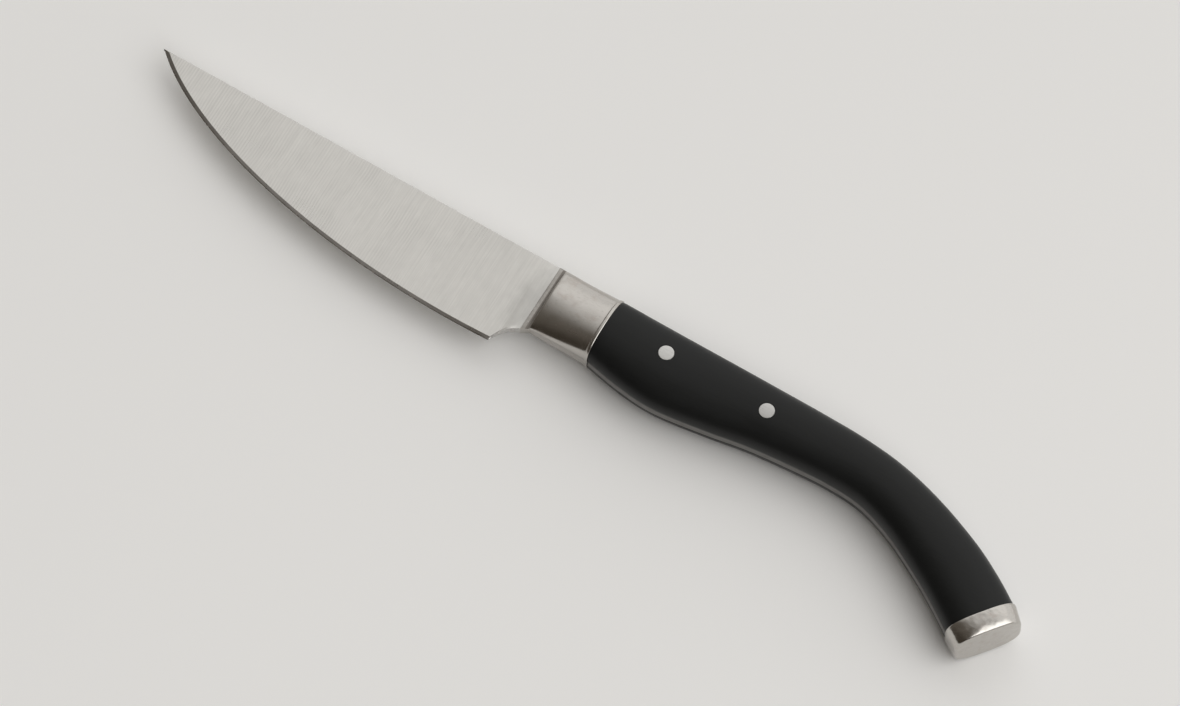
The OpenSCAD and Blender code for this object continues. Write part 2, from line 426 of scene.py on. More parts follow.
@dataclass(frozen=True)
class Workbench:
    """Turns points on the knife into points in the frame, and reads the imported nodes."""

    origin: Vector

    @classmethod
    def at_tip(cls) -> Workbench:
        """The bench whose origin is the tip, on the spine, in the middle of the blade."""
        low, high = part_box("blade")
        return cls(Vector((low.x, high.y, (low.z + high.z) / 2)))

    def put(self, point: Vector) -> Vector:
        """The place of a point of the knife in the frame, in metres."""
        return self.origin + point * MM

    def box(self, node: str) -> tuple[Vector, Vector]:
        """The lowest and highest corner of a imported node, along the knife."""
        low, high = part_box(node)
        return (low - self.origin) / MM, (high - self.origin) / MM


def between(start: float, end: float, share: float) -> float:
    """The value at a share of the way from start to end."""
    return start + (end - start) * share


def ease(start: float, end: float, share: float) -> float:
    """A value that goes from start to end with the share, level at both ends."""
    return between(start, end, share * share * (3 - 2 * share))


def share_along(value: float, start: float, end: float) -> float:
    """How far a value is on the way from start to end, from 0 to 1."""
    return min(1.0, max(0.0, (value - start) / (end - start)))


def ways(count: int, first: int = 0) -> list[float]:
    """Even steps up to 1: first / count and on to count / count."""
    return [number / count for number in range(first, count + 1)]


def curve(handles: Sequence[Pair], t: float) -> Vector:
    """A point on the curve with four handles, of which two are its ends, at t from 0 to 1."""
    a, b, c, d = (Vector(handle) for handle in handles)
    return a * (1 - t) ** 3 + b * (3 * t * (1 - t) ** 2) + c * (3 * t**2 * (1 - t)) + d * t**3


def rounding(count: int, radius: float) -> list[Pair]:
    """Points around a rounded corner, from its first side to its second, with their distances from both."""
    turns = [RIGHT_ANGLE * share for share in ways(count)]
    return [(radius * (1 - math.cos(turn)), radius * (1 - math.sin(turn))) for turn in turns]


def circle(middle: Vector, radius: float, count: int) -> list[Pair]:
    """Even points around a circle on the side of the knife, as pairs of x and y."""
    turns = [FULL_TURN * (number + MIDDLE) / count for number in range(count)]
    return [(middle.x + radius * math.cos(turn), middle.y + radius * math.sin(turn)) for turn in turns]


def both_sides(profile: Sequence[Pair]) -> list[Pair]:
    """A profile of the left side, closed by its mirror image on the right."""
    return [*profile, *((rise, -out) for rise, out in reversed(profile))]


@dataclass(frozen=True)
class Station:
    """A place along the knife where a section stands, with half its height and its lean to the butt."""

    middle: Vector
    half_height: float = 0.0
    lean: float = 0.0

    @property
    def up(self) -> Vector:
        """The direction across the knife, in the plane of the blade."""
        return Vector((math.sin(self.lean), math.cos(self.lean), 0))

    @property
    def ahead(self) -> Vector:
        """The direction along the knife, in the plane of the blade."""
        return Vector((math.cos(self.lean), -math.sin(self.lean), 0))

    def ring(self, profile: Iterable[Pair], side: Side = Side.LEFT) -> Ring:
        """Stands a profile up here. Its pairs are ways up from the middle and out to the side."""
        return [self.middle + self.up * rise + Vector((0, 0, side.value * out)) for rise, out in profile]


@dataclass(frozen=True)
class Patch:
    """The faces of a skin, by the numbers of their ring and column, that have a finish of their own."""

    finish: Finish
    rings: range
    columns: Iterable[int]


@dataclass(frozen=True)
class Skin:
    """A closed mesh stretched over rings of points.

    All rings have the same number of points, and the second half of a ring mirrors the first, so that strips
    close the two ends. Where the number is odd, the last strip is a triangle.
    """

    name: str
    rings: Sequence[Ring]
    finish: Finish
    patches: Sequence[Patch] = ()
    sharp_columns: frozenset[int] = frozenset()
    sharp_rings: frozenset[int] = frozenset()

    @property
    def around(self) -> int:
        """The number of points in a ring."""
        return len(self.rings[0])

    def faces(self) -> list[tuple[int, ...]]:
        """Joins each ring to the next one, and closes the two ends with strips.

        Returns:
            The faces, by the numbers of their corners: first the skin, ring by ring, and then its two ends.
        """
        around = self.around
        last = (len(self.rings) - 1) * around
        skin = [
            (ring + column, ring + around + column, ring + around + after, ring + after)
            for ring in range(0, last, around)
            for column, after in ((number, (number + 1) % around) for number in range(around))
        ]
        strips = [(i, i + 1, around - 2 - i, around - 1 - i) for i in range(around // 2 - 1)]
        if around % 2:
            strips.append((around // 2 - 1, around // 2, around // 2 + 1))
        ends = [*strips, *(tuple(last + corner for corner in reversed(strip)) for strip in strips)]
        return skin + ends

    def build(self, bench: Workbench) -> bpy.types.Object:
        """Makes the object.

        Args:
            bench: The bench that places its points.

        Returns:
            The new object, with its finishes and its sharp seams.
        """
        mesh = bpy.data.meshes.new(self.name)
        mesh.from_pydata([bench.put(point) for ring in self.rings for point in ring], [], self.faces())
        for finish in (self.finish, *(patch.finish for patch in self.patches)):
            mesh.materials.append(finish.material())
        for number, patch in enumerate(self.patches, 1):
            for ring, column in itertools.product(patch.rings, patch.columns):
                mesh.polygons[ring * self.around + column].material_index = number
        for edge in mesh.edges:
            (ring_a, column_a), (ring_b, column_b) = (divmod(corner, self.around) for corner in edge.vertices)
            along = column_a == column_b and column_a in self.sharp_columns
            across = ring_a == ring_b and ring_a in self.sharp_rings
            edge.use_edge_sharp = along or across
        mesh.polygons.foreach_set("use_smooth", [True] * len(mesh.polygons))
        close_up(mesh)
        return show(self.name, mesh)


def close_up(mesh: bpy.types.Mesh) -> None:
    """Welds points that coincide, drops faces without area, and turns all faces outwards.

    Args:
        mesh: The closed mesh, which is changed in place.
    """
    shell = bmesh.new()
    shell.from_mesh(mesh)
    bmesh.ops.remove_doubles(shell, verts=shell.verts, dist=WELD * MM)
    bmesh.ops.dissolve_degenerate(shell, edges=shell.edges, dist=WELD * MM)
    bmesh.ops.recalc_face_normals(shell, faces=shell.faces)
    shell.to_mesh(mesh)
    shell.free()


def show(name: str, data: bpy.types.ID) -> bpy.types.Object:
    """Puts a mesh, a lamp or a camera into the scene.

    Args:
        name: The name of its object.
        data: The mesh, lamp or camera.

    Returns:
        The new object.
    """
    made = bpy.data.objects.new(name, data)
    bpy.context.scene.collection.objects.link(made)
    return made


def modify(piece: bpy.types.Object, kind: str, **settings: object) -> None:
    """Lets one modifier work on a piece's mesh for good.

    Args:
        piece: The piece.
        kind: The modifier's type.
        **settings: Its settings.
    """
    modifier = piece.modifiers.new(kind.lower(), kind)
    for name, value in settings.items():
        setattr(modifier, name, value)
    seen = piece.evaluated_get(bpy.context.evaluated_depsgraph_get())
    mesh = bpy.data.meshes.new_from_object(seen)
    piece.modifiers.clear()
    piece.data = mesh


def cut_out(piece: bpy.types.Object, cutter: bpy.types.Object) -> None:
    """Takes the cutter's shape out of a piece, and removes the cutter."""
    modify(piece, "BOOLEAN", operation="DIFFERENCE", solver="EXACT", object=cutter)
    bpy.data.objects.remove(cutter)


def even_normals(piece: bpy.types.Object) -> None:
    """Lets broad faces lead the shading, so that small eased edges don't darken them."""
    modify(piece, "WEIGHTED_NORMAL", keep_sharp=True)


def hand_over(piece: bpy.types.Object, node: str) -> None:
    """Gives a finished piece its place in the model.

    Args:
        piece: The piece.
        node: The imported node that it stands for.
    """
    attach(piece, BODY)
    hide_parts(node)
    names = ", ".join(material.name for material in piece.data.materials)
    log.info("%s: %d faces, %s", piece.name, len(piece.data.polygons), names)


@dataclass(frozen=True)
class Grip:
    """The handle's curved line, and the rounded section that follows it."""

    start_x: float
    half_blank: float
    half_handle: float
    length: float = 104.6
    height: float = 15.9
    drop: float = 15.8
    butt_angle: float = 37.0
    rim_proud: float = 0.25
    fullness: float = 2.45
    flank_steps: int = 44
    row_steps: int = 12
    halvings: int = 22
    # The way along the grip, the drop of its middle, its height and its lean, as shares of the sizes above
    shares: Sequence[Sequence[float]] = (
        (0, 0, 1, 0),
        (0.087, 0.054, 1.105, 0),
        (0.173, 0.073, 1.145, 0),
        (0.288, 0.025, 1.052, 0),
        (0.386, -0.028, 0.945, 0.04),
        (0.484, -0.057, 0.882, 0.11),
        (0.584, -0.063, 0.838, 0.25),
        (0.677, 0, 0.833, 0.52),
        (0.7725, 0.19, 0.888, 0.74),
        (0.873, 0.49, 0.968, 0.82),
        (0.945, 0.76, 1.002, 0.9),
        (1, 1, 1.015, 1),
    )

    @classmethod
    def from_frame(cls, bench: Workbench) -> Grip:
        """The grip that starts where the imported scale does."""
        low, high = bench.box("scale_left")
        return cls(start_x=low.x, half_blank=low.z, half_handle=high.z)

    @property
    def last_row(self) -> int:
        """The number of the last row of shares, where the grip ends."""
        return len(self.shares) - 1

    @property
    def butt(self) -> Station:
        """The place where the grip ends."""
        return self.station(self.last_row)

    def row(self, number: int) -> Vector:
        """A row of shares. Beyond each end lies one more, on the line through the two rows there."""
        inside = min(max(number, 0), self.last_row)
        return 2 * Vector(self.shares[inside]) - Vector(self.shares[2 * inside - number])

    def station(self, way: float) -> Station:
        """The place at a way along the rows, on a smooth curve through them.

        Args:
            way: The way, from 0 at the first row to last_row at the last.

        Returns:
            The place.
        """
        number = min(int(way), self.last_row - 1)
        t = way - number
        p0, p1, p2, p3 = (self.row(number + step) for step in (-1, 0, 1, 2))
        bend = 2 * p0 - 5 * p1 + 4 * p2 - p3 + t * (3 * p1 - p0 - 3 * p2 + p3)
        along, drop, height, lean = p1 + 0.5 * t * (p2 - p0 + t * bend)
        top = -self.rim_proud - self.height / 2
        middle = Vector((self.start_x + along * self.length, top - drop * self.drop, 0))
        return Station(middle, height * self.height / 2, math.radians(lean * self.butt_angle))

    def stations(self) -> list[Station]:
        """Close places along the whole grip."""
        return [self.station(self.last_row * share) for share in ways(self.last_row * self.row_steps)]

    def flank(self, half_height: float, half_thickness: float, eased: float, fullness: float) -> list[Pair]:
        """The rounded section of one side of the handle, from its top edge on the blank to its bottom edge.

        Args:
            half_height: Half the section's height.
            half_thickness: How far the crown lies from the middle of the blade.
            eased: The radius of the edges that meet the blank.
            fullness: 2 for an ellipse, and more for fuller corners.

        Returns:
            The section's points.
        """
        swell = half_thickness - self.half_blank
        power = 2 / fullness
        turns = [math.pi * share for share in ways(self.flank_steps, 1)[:-1]]
        crown = [
            (half_height * math.copysign(abs(up) ** power, up), self.half_blank + swell * out**power)
            for up, out in ((math.cos(turn), math.sin(turn)) for turn in turns)
        ]
        arris = [(half_height - b, self.half_blank + a) for a, b in rounding(CORNER_STEPS, eased)]
        return [*arris, *crown, *((-rise, out) for rise, out in reversed(arris))]

    def surface(self, x: float, y: float) -> float:
        """How far the left flank lies from the middle of the blade at a point seen from the side.

        Args:
            x: The point's way along the knife.
            y: Its height.

        Returns:
            The flank's distance along z.
        """
        point = Vector((x, y, 0))
        low, high = 0.0, float(self.last_row)
        for _ in range(self.halvings):
            way = (low + high) / 2
            here = self.station(way)
            if (point - here.middle).dot(here.ahead) > 0:
                low = way
            else:
                high = way
        share = min(1.0, abs((point - here.middle).dot(here.up)) / here.half_height)
        return between(self.half_blank, self.half_handle, (1 - share**self.fullness) ** (1 / self.fullness))


@dataclass(frozen=True)
class Bolster:
    """The polished bolster: two halves, each with a hollow toe, a rounded front, a waist and a flared rim."""

    bench: Workbench
    grip: Grip
    finish: Finish
    # The toe's finish is painted darker as shade
    toe_finish: Finish
    # The root's finish is painted darker still, as shade in the hollow
    root_finish: Finish
    toe_start: float
    end: float
    toe_low: float
    height: float = 16.0
    toe_length: float = 1.8
    feather: float = 0.02
    land_rise: float = 0.1
    land_edge: float = 0.14
    root_round: float = 0.95
    nose_fullness: float = 1.8
    saddle_fullness: float = 2.0
    nose_length: float = 2.4
    nose_drop: float = 0.22
    crown_lift: float = 0.8
    front_half: float = 4.1
    rear_half: float = 6.1
    swell_power: float = 1.3
    waist_dip: float = 0.2
    waist_share: float = 0.5
    rim_length: float = 1.4
    front_round: float = 0.5
    lip_width: float = 0.66
    lip_rise: float = 0.34
    rim_round: float = 0.28
    eased: float = 0.04
    toe_steps: int = 8
    # Strips at the start of the hollow whose colour is painted dark as shade
    shaded_root_steps: int = 4
    saddle_steps: int = 24
    lip_steps: int = 8
    round_steps: int = 5

    @classmethod
    def from_frame(cls, bench: Workbench, grip: Grip, finishes: Sequence[Finish]) -> Bolster:
        """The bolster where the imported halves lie, with the finishes in the order of their fields."""
        low, high = bench.box("bolster_left")
        return cls(bench, grip, *finishes, toe_start=low.x, end=high.x, toe_low=low.y)

    @property
    def front(self) -> float:
        """Where the hollow toe ends and the full bolster starts."""
        return self.toe_start + self.toe_length

    @property
    def nose_end(self) -> float:
        """Where the nose has risen to the saddle."""
        return self.front + self.nose_length

    @property
    def rim_start(self) -> float:
        """Where the saddle ends and the rim starts to flare."""
        return self.end - self.rim_length

    def station(self, x: float) -> Station:
        """The place at x, with the height that the blank between the two halves shares.

        Args:
            x: The way along the knife.

        Returns:
            The place.
        """
        waist = ease(0, -self.waist_dip, share_along(self.saddle_way(x), 0, self.waist_share))
        belly = between(self.toe_low, -self.height, share_along(x, self.toe_start, self.front))
        rim = share_along(x, self.rim_start, self.end)
        top, low = ease(waist, 0, rim), ease(belly, -self.grip.height - 2 * self.grip.rim_proud, rim)
        return Station(Vector((x, (top + low) / 2, 0)), (top - low) / 2)

    def saddle_way(self, x: float) -> float:
        """The way along the saddle at x, from 0 at its front to 1 at the rim."""
        return share_along(x, self.front, self.rim_start)

    def saddle(self, x: float) -> float:
        """Half the thickness of the saddle at x, which drops a little to the nose."""
        plain = between(self.front_half, self.rear_half, self.saddle_way(x) ** self.swell_power)
        return plain - self.nose_drop * (1 - share_along(x, self.front, self.nose_end)) ** 2

    def fullness(self, x: float) -> float:
        """How full the corners are at x: cut back at the nose, and as full as the grip's at the rim."""
        nose = ease(self.nose_fullness, self.saddle_fullness, share_along(x, self.front, self.nose_end))
        return between(nose, self.grip.fullness, share_along(x, self.nose_end, self.rim_start))

    def toe(self) -> list[Pair]:
        """The toe: a thin land and the hollow at its root.

        Returns:
            Pairs of x and half thickness.
        """
        land = self.grip.half_blank + self.land_rise
        start = (self.toe_start, self.grip.half_blank + self.feather)
        hollow = [(self.front - b, land + a) for a, b in rounding(self.toe_steps, self.root_round)]
        return [start, (self.toe_start + self.land_edge, land), *hollow]

    def crown(self) -> list[Pair]:
        """The crown: a rounded front, the saddle and the lip at the rear.

        Returns:
            Pairs of x and half thickness.
        """
        nose = rounding(self.round_steps, self.front_round)
        lip_start = self.end - self.lip_width - self.lip_rise
        run = [between(self.front + self.front_round, lip_start, way) for way in ways(self.saddle_steps, 1)]
        lip, full = ways(self.lip_steps, 1), self.grip.half_handle
        return [
            *((self.front + a, self.saddle(self.front + a) - b) for a, b in nose),
            *((x, self.saddle(x)) for x in run),
            *((lip_start + self.lip_rise * t, ease(self.rear_half, full, t)) for t in lip),
            *((self.end - b, full - a) for a, b in rounding(self.round_steps, self.rim_round)),
        ]

    def rings(self, side: Side) -> list[Ring]:
        """The sections of one half.

        Args:
            side: The half's side.

        Returns:
            Its rings, from the toe to the rim.
        """
        rings = []
        for x, half_thickness in self.toe() + self.crown():
            here = self.station(x)
            # The rim is rounded at its top and its bottom too
            inset = max(0.0, self.rim_round - (self.end - x))
            half_height = here.half_height - self.rim_round + math.sqrt(self.rim_round**2 - inset**2)
            profile = self.grip.flank(half_height, half_thickness, self.eased, self.fullness(x))
            lift = self.crown_lift * (1 - self.saddle_way(x))
            lifted = [(rise + lift * (1 - (rise / half_height) ** 2), out) for rise, out in profile]
            rings.append(here.ring(lifted, side))
        return rings

    def build(self) -> None:
        """Makes both halves."""
        toe = range(len(self.toe()) - 1)
        hollow = toe[-self.toe_steps :]
        # These strips of the hollow get the painted shade
        shaded_root = hollow[: self.shaded_root_steps]
        for side in Side:
            node = f"bolster_{side.name.lower()}"
            rings = self.rings(side)
            columns = range(len(rings[0]))
            patches = [Patch(self.toe_finish, toe, columns), Patch(self.root_finish, shaded_root, columns)]
            ends = frozenset({0, len(rings) - 1})
            piece = Skin(f"{node}_polished", rings, self.finish, patches, sharp_rings=ends).build(self.bench)
            even_normals(piece)
            hand_over(piece, node)


@dataclass(frozen=True)
class Blade:
    """The ground blade, its choil, and the tang that runs through bolster and handle to a tenon."""

    bench: Workbench
    grip: Grip
    bolster: Bolster
    face_finish: Finish
    spine_finish: Finish
    bevel_finish: Finish
    edge_finish: Finish
    tang_finish: Finish
    height: float = 22.8
    tip_height: float = 0.3
    tip_half: float = 0.3
    spine_half_at_tip: float = 0.55
    fine_tip: float = 7.0
    bevel_width: float = 0.85
    bevel_half: float = 0.25
    face_slope: float = 0.032
    honed_share: float = 0.26
    honed_half_share: float = 0.36
    edge_half: float = 0.05
    choil_length: float = 4.9
    spine_round: float = 0.14
    tip_round_share: float = 0.1
    tip_bevel_share: float = 0.85
    tang_round: float = 0.05
    tenon_height: float = 10.0
    tenon_length: float = 2.6
    face_steps: int = 6
    edge_steps: int = 96
    choil_steps: int = 20
    # The steps of the choil that the sharpened bevel runs into
    bevel_out_steps: int = 5
    # Handles of the edge and of the choil, as shares of their length and of their rise
    edge_shares: Sequence[Pair] = ((0, 0), (0.15, 0.62), (0.56, 1.075), (1, 0.993))
    choil_shares: Sequence[Pair] = ((0, 0), (0.24, 0.5), (0.48, 0.83), (1, 1))

    @property
    def heel(self) -> float:
        """Where the sharpened edge ends."""
        return self.bolster.toe_start - self.choil_length

    @property
    def heel_low(self) -> float:
        """The height of the edge at the heel."""
        return -self.edge_shares[-1][1] * self.height

    def spine_half(self, x: float) -> float:
        """Half the thickness of the spine at x, which thins to the tip and is ground finer close to it."""
        finer = (self.spine_half_at_tip - self.tip_half) * (1 - share_along(x, 0, self.fine_tip)) ** 2
        return between(self.spine_half_at_tip, self.grip.half_blank, x / self.bolster.toe_start) - finer

    def outline(self, top: Pair, wide: Pair, low: Pair, rounds: Pair) -> list[Pair]:
        """The outline of a section of the blank.

        Args:
            top: Height and half thickness at the top.
            wide: The same where the bevel starts.
            low: The same at the bottom.
            rounds: The radii of the edges at the top and at the bottom.

        Returns:
            Its points, down the left side and up the right.
        """
        spine = [(top[0] - a, top[1] - b) for a, b in rounding(CORNER_STEPS, rounds[0])]
        foot = [(low[0] + a, low[1] - b) for a, b in rounding(CORNER_STEPS, rounds[1])]
        face = [
            (between(spine[-1][0], wide[0], way), between(spine[-1][1], wide[1], way))
            for way in ways(self.face_steps, 1)
        ]
        honed = (between(low[0], wide[0], self.honed_share), between(low[1], wide[1], self.honed_half_share))
        return both_sides([*spine, *face, honed, *reversed(foot)])

    def blade_ring(self, x: float, low: float, bevel: Pair, edge_half: float) -> Ring:
        """A section of the blade ahead of the bolster.

        Args:
            x: The way along the knife.
            low: The height of the blade's lower side.
            bevel: The bevel's height in the section, and half the thickness where it starts.
            edge_half: Half the thickness at the lower side.

        Returns:
            The section's ring.
        """
        top_half = self.spine_half(x)
        wide_y = low + min(bevel[0], -low * self.tip_bevel_share)
        wide = (wide_y, min(top_half, max(bevel[1], top_half + self.face_slope * wide_y)))
        spine_round = min(self.spine_round, top_half / 2, -low * self.tip_round_share)
        rounds = (spine_round, min(self.tang_round, edge_half / 2))
        return Station(Vector((x, 0, 0))).ring(self.outline((0, top_half), wide, (low, edge_half), rounds))

    def edge_rings(self) -> list[Ring]:
        """Sections along the sharpened edge.

        Returns:
            Their rings, from the tip to the heel.
        """
        points = [curve(self.edge_shares, t) for t in ways(self.edge_steps)]
        edge = [Vector((p.x * self.heel, min(-self.tip_height, -p.y * self.height))) for p in points]
        rings = []
        for before, point, after in zip([edge[0], *edge], edge, [*edge[1:], edge[-1]]):
            run = after - before
            bevel = (self.bevel_width * run.length / run.x, self.bevel_half)
            rings.append(self.blade_ring(point.x, point.y, bevel, self.edge_half))
        return rings

    def choil_rings(self) -> list[Ring]:
        """Sections along the choil, where the ground sides run out to the full thickness of the blank.

        Returns:
            Their rings, from the heel to the bolster.
        """
        rings = []
        for t in ways(self.choil_steps, 1):
            point = curve(self.choil_shares, t)
            low = between(self.heel_low, self.bolster.toe_low, point.y)
            bevel = (self.bevel_width, ease(self.bevel_half, self.grip.half_blank, t))
            edge_half = ease(self.edge_half, self.grip.half_blank, math.sqrt(t))
            rings.append(self.blade_ring(self.heel + self.choil_length * point.x, low, bevel, edge_half))
        return rings

    def tang_ring(self, here: Station) -> Ring:
        """A section of the flat tang, which stands at a place and has its height."""
        half, end, rounds = self.grip.half_blank, here.half_height, (self.tang_round, self.tang_round)
        return here.ring(self.outline((end, half), (self.bevel_width - end, half), (-end, half), rounds))

    def bolster_rings(self) -> list[Ring]:
        """Sections of the blank between the two halves of the bolster."""
        stops = sorted({x for x, _ in self.bolster.toe()[1:] + self.bolster.crown()})
        return [self.tang_ring(self.bolster.station(x)) for x in stops]

    def tang_rings(self) -> list[Ring]:
        """Sections of the tang inside the handle.

        Returns:
            Their rings, of which the last two are the tenon's.
        """
        butt = self.grip.butt
        ends = [butt.middle + butt.ahead * way for way in (0.0, self.tenon_length)]
        tenon = [Station(middle, self.tenon_height / 2, butt.lean) for middle in ends]
        return [self.tang_ring(here) for here in self.grip.stations() + tenon]

    def build(self) -> None:
        """Makes the blade with its tang."""
        edge, choil, tang = self.edge_rings(), self.choil_rings(), self.tang_rings()
        rings = edge + choil + self.bolster_rings() + tang
        around, last = len(rings[0]), len(rings) - 1
        # The rings where the bolster starts and where it ends
        neck, shoulder = len(edge + choil) - 1, last - len(tang)
        ahead, sharpened = range(neck), range(len(edge) + self.bevel_out_steps)
        # The columns of the left side where the bevel starts, and after it the honed face and the foot
        bevel = CORNER_STEPS + self.face_steps
        honed, foot = bevel + 1, bevel + 2
        spine_columns = (*range(CORNER_STEPS), *range(around - 1 - CORNER_STEPS, around))
        foot_columns = range(foot, around - 1 - foot)
        rim = (*spine_columns, *foot_columns)
        patches = [
            Patch(self.spine_finish, ahead, spine_columns),
            Patch(self.edge_finish, ahead, foot_columns),
            Patch(self.bevel_finish, sharpened, (bevel, around - 2 - bevel)),
            Patch(self.edge_finish, sharpened, (honed, around - 2 - honed)),
            Patch(self.bolster.finish, range(neck, shoulder), rim),
            Patch(self.tang_finish, range(shoulder, last), rim),
        ]
        seams = (0, CORNER_STEPS, bevel, honed, foot)
        skin = Skin(
            "blade_ground",
            rings,
            self.face_finish,
            patches,
            sharp_columns=frozenset({*seams, *(around - 1 - seam for seam in seams)}),
            sharp_rings=frozenset({0, shoulder, shoulder + 1, last - 2, last - 1, last}),
        )
        piece = skin.build(self.bench)
        even_normals(piece)
        hand_over(piece, "blade")


@dataclass(frozen=True)
class Scales:
    """The two black scales, drilled for the pins."""

    bench: Workbench
    grip: Grip
    finish: Finish
    pins: Pins
    eased: float = 0.07
    end_round: float = 0.06
    hole_gap: float = 0.04
    hole_steps: int = 72
    overrun: float = 1.0
    seam_angle: float = math.radians(35)

    def rings(self, side: Side) -> list[Ring]:
        """The sections of one scale.

        Args:
            side: The scale's side.

        Returns:
            Its rings, from the bolster to the butt cap.
        """
        rings = []
        stations = self.grip.stations()
        for here in stations:
            tuck = self.end_round if here in (stations[0], stations[-1]) else 0.0
            sizes = (here.half_height - tuck, self.grip.half_handle - tuck)
            rings.append(here.ring(self.grip.flank(*sizes, self.eased, self.grip.fullness), side))
        return rings

    def drill(self, middle: Vector, radius: float, side: Side) -> bpy.types.Object:
        """A cutter for one pin's hole.

        Args:
            middle: The pin's middle.
            radius: The hole's radius.
            side: The side of the scale that it goes through.

        Returns:
            The cutter.
        """
        hole = circle(middle, radius, self.hole_steps)
        ends = (0.0, side.value * (self.grip.half_handle + self.overrun))
        rings = [[Vector((x, y, z)) for x, y in hole] for z in ends]
        return Skin("drill", rings, self.finish).build(self.bench)

    def build(self) -> None:
        """Makes both scales."""
        for side in Side:
            node = f"scale_{side.name.lower()}"
            piece = Skin(f"{node}_moulded", self.rings(side), self.finish).build(self.bench)
            for middle, radius in self.pins.places():
                cut_out(piece, self.drill(middle, radius + self.hole_gap, side))
            piece.data.set_sharp_from_angle(angle=self.seam_angle)
            hand_over(piece, node)


@dataclass(frozen=True)
class Pins:
    """The two steel pins, ground flush with the flanks of the handle."""

    bench: Workbench
    grip: Grip
    finish: Finish
    nodes: Sequence[str] = ("pin_front", "pin_rear")
    rim: float = 0.07
    around: int = 72
    rings_across: int = 8

    def places(self) -> list[tuple[Vector, float]]:
        """The middle and the radius of each pin."""
        boxes = [self.bench.box(node) for node in self.nodes]
        return [((low + high) / 2, (high.x - low.x) / 2) for low, high in boxes]

    def face(self, middle: Vector, radius: float, side: Side, sink: float) -> Ring:
        """A ring on the end of a pin, which follows the flank around the pin and is sunk under it."""
        points = circle(middle, radius, self.around)
        return [Vector((x, y, side.value * (self.grip.surface(x, y) - sink))) for x, y in points]

    def build(self) -> None:
        """Makes both pins."""
        for node, (middle, radius) in zip(self.nodes, self.places()):
            sizes = [((radius - self.rim) * way, 0.0) for way in ways(self.rings_across, 1)]
            sizes.append((radius, self.rim))
            left, right = ([self.face(middle, size, side, sink) for size, sink in sizes] for side in Side)
            rim = frozenset(range(len(left) - 2, len(left) + 2))
            skin = Skin(f"{node}_faced", left + right[::-1], self.finish, sharp_rings=rim)
            hand_over(skin.build(self.bench), node)


@dataclass(frozen=True)
class ButtCap:
    """The polished steel cap on the butt: a rim, a tapering body and a flat end with a rounded edge."""

    bench: Workbench
    grip: Grip
    finish: Finish
    length: float = 5.0
    fullness: float = 2.8
    taper: float = 0.9
    rear_round: float = 0.6
    crown_dip: float = 0.36
    barrel: int = 3
    rim_length: float = 0.8
    front_round: float = 0.3
    bond: float = 0.02
    front_steps: int = 4
    body_steps: int = 14
    round_steps: int = 9

    def profile_along(self) -> list[tuple[float, float, float]]:
        """The cap's line: a rounded front edge, a body that tapers, and a rounded rear edge.

        Returns:
            Ways along the cap, with how far its edges and its flats are drawn in there.
        """
        body_end = self.length - self.rear_round
        body = [
            (between(self.rim_length, body_end, way), self.taper / 2 * way, self.crown_dip * way**self.barrel)
            for way in ways(self.body_steps)
        ]
        slope = math.atan2(self.barrel * self.crown_dip, body_end - self.rim_length)
        turns = [between(slope, RIGHT_ANGLE, share) for share in ways(self.round_steps, 1)]
        arc = [(math.sin(turn) - math.sin(slope), math.cos(slope) - math.cos(turn)) for turn in turns]
        rear = [(body_end + self.rear_round * a, self.rear_round * b) for a, b in arc]
        return [
            *((way, tuck, tuck) for way, tuck in rounding(self.front_steps, self.front_round)),
            *body,
            *((way, self.taper / 2 + tuck, self.crown_dip + tuck) for way, tuck in rear),
        ]

    def build(self) -> None:
        """Makes the cap."""
        butt = self.grip.butt
        half = butt.half_height + self.grip.rim_proud
        rings = []
        for way, edges, flats in self.profile_along():
            here = Station(butt.middle + butt.ahead * (self.bond + way), half - edges, butt.lean)
            flank = self.grip.flank(here.half_height, self.grip.half_handle - flats, 0.0, self.fullness)
            rings.append(here.ring(both_sides(flank[CORNER_STEPS:-CORNER_STEPS])))
        ends = frozenset({0, len(rings) - 1})
        piece = Skin("butt_cap_polished", rings, self.finish, sharp_rings=ends).build(self.bench)
        even_normals(piece)
        hand_over(piece, "butt_cap")


@dataclass(frozen=True)
class Stand:
    """A place for a lamp or a camera: degrees from -Y to +X, degrees above the table, and metres away."""

    azimuth: float
    elevation: float
    distance: float

    @property
    def direction(self) -> Vector:
        """The direction out to it, one unit long."""
        turn, rise = math.radians(self.azimuth), math.radians(self.elevation)
        return Vector((math.sin(turn) * math.cos(rise), -math.cos(turn) * math.cos(rise), math.sin(rise)))

    def hold(self, name: str, data: bpy.types.ID, target: Vector) -> bpy.types.Object:
        """Puts up a lamp or a camera.

        Args:
            name: Its name.
            data: The lamp or camera.
            target: The point that it faces.

        Returns:
            Its object.
        """
        made = show(name, data)
        made.location = target + self.direction * self.distance
        made.rotation_euler = (-self.direction).to_track_quat("-Z", "Y").to_euler()
        return made


@dataclass(frozen=True)
class Softbox(Stand):
    """A large soft lamp that faces the knife. Its sizes are in metres."""

    name: str
    width: float
    height: float
    brightness: float
    colour: Colour = (1.0, 1.0, 1.0)

    def hang(self, target: Vector) -> None:
        """Makes the lamp.

        Args:
            target: The point that it faces.
        """
        lamp = bpy.data.lights.new(self.name, "AREA")
        lamp.shape = "ELLIPSE"
        lamp.size = self.width
        lamp.size_y = self.height
        # An even glow sends out pi times its brightness from each square metre
        lamp.energy = self.brightness * math.pi * (math.pi / 4 * self.width * self.height)
        lamp.color = self.colour
        self.hold(self.name, lamp, target)


